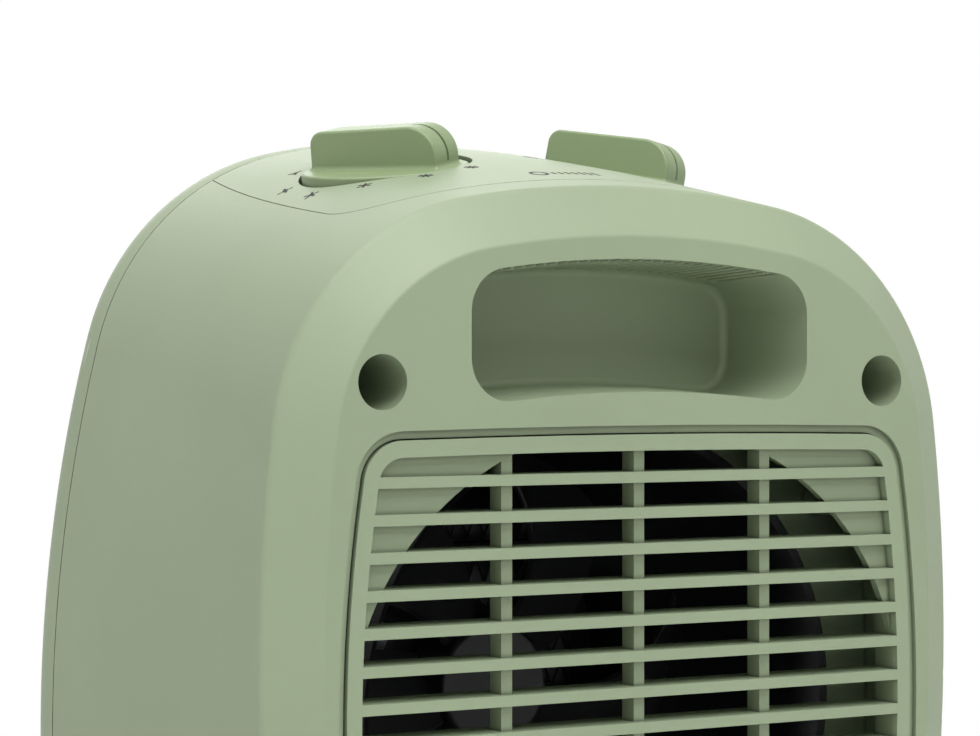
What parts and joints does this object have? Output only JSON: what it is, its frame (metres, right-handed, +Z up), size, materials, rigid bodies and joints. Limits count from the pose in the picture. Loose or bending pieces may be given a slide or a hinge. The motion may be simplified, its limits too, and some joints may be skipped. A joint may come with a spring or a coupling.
{
  "type": "ceramic fan heater",
  "caption": "Free-standing ceramic fan heater with arched casing, rear handle recess, slatted grilles, axial fan behind the rear one and two rotary controls on top.",
  "frame": {"origin": "on the floor, under the middle of the casing's width and depth", "axes": "+Z up from the feet, +Y to the back with the handle recess and the fan grille, X across the width"},
  "size_m": [0.1868, 0.1335, 0.2357],
  "materials": {
    "casing": "fine matte moulded",
    "knobs": "fine matte moulded",
    "duct": "matte moulded",
    "fan": "satin moulded",
    "feet": "matte",
    "screws": "zinc plated",
    "motor_steel": "drawn",
    "motor_plastic": "matte",
    "magnets": "sintered",
    "heater_frame": "heat resistant, matte",
    "aluminium": "mill finish",
    "ceramic": "fired, unglazed",
    "controls": "moulded resin",
    "brass": "bright",
    "shafts": "moulded",
    "plunger": "moulded",
    "spring": "drawn wire"
  },
  "bodies": {
    "casing": {"rear_housing": "casing", "front_cover": "casing", "control_panel": "casing", "rear_grille": "casing", "front_grille": "casing", "fan_duct": "duct", "cord_bush": "duct", "base_plate": "casing", "rubber_feet": "feet", "housing_screws": "screws", "duct_screws": "screws", "heater_screws": "screws", "motor_screws": "screws", "base_screws": "screws", "control_screws": "screws", "motor_can": "motor_steel", "motor_end_cap": "motor_plastic", "motor_bushes": "brass", "motor_magnets": "magnets", "heater_frame": "heater_frame", "heater_fins": "aluminium", "ceramic_stones": "ceramic", "electrode_plates": "aluminium", "thermal_cutout": "controls", "thermal_fuse": "aluminium", "thermostat_body": "ceramic", "thermostat_blades": "brass", "switch_body": "controls", "switch_terminals": "brass", "tip_switch_body": "controls", "tip_spring": "spring"},
    "rotor": {"fan_rotor": "fan", "motor_shaft": "motor_steel", "motor_armature": "motor_steel"},
    "thermostat_control": {"thermostat_knob": "knobs", "thermostat_shaft": "shafts"},
    "mode_control": {"mode_knob": "knobs", "switch_shaft": "shafts"},
    "tip_plunger": {"tip_plunger": "plunger"}
  },
  "joints": [
    {"name": "fan_spin", "type": "hinge", "parent": "casing", "child": "rotor", "pos_m": [0, 0, 0.1006], "axis": [0, 1, 0], "continuous": true},
    {"name": "thermostat_turn", "type": "hinge", "parent": "casing", "child": "thermostat_control", "pos_m": [0.0325, 0.007, 0.22483], "axis": [0.1418, 0.1086, 0.9839], "range_deg": [-166, 104]},
    {"name": "mode_turn", "type": "hinge", "parent": "casing", "child": "mode_control", "pos_m": [-0.0325, 0.007, 0.22483], "axis": [-0.1418, 0.1086, 0.9839], "range_deg": [-120, 0]},
    {"name": "tip_plunger_slide", "type": "slide", "parent": "casing", "child": "tip_plunger", "axis": [0, 0, -1], "range_m": [0, 0.006], "stiffness_N_per_m": 50, "springref_m": 0.008, "deforming": ["tip_spring"]}
  ]
}
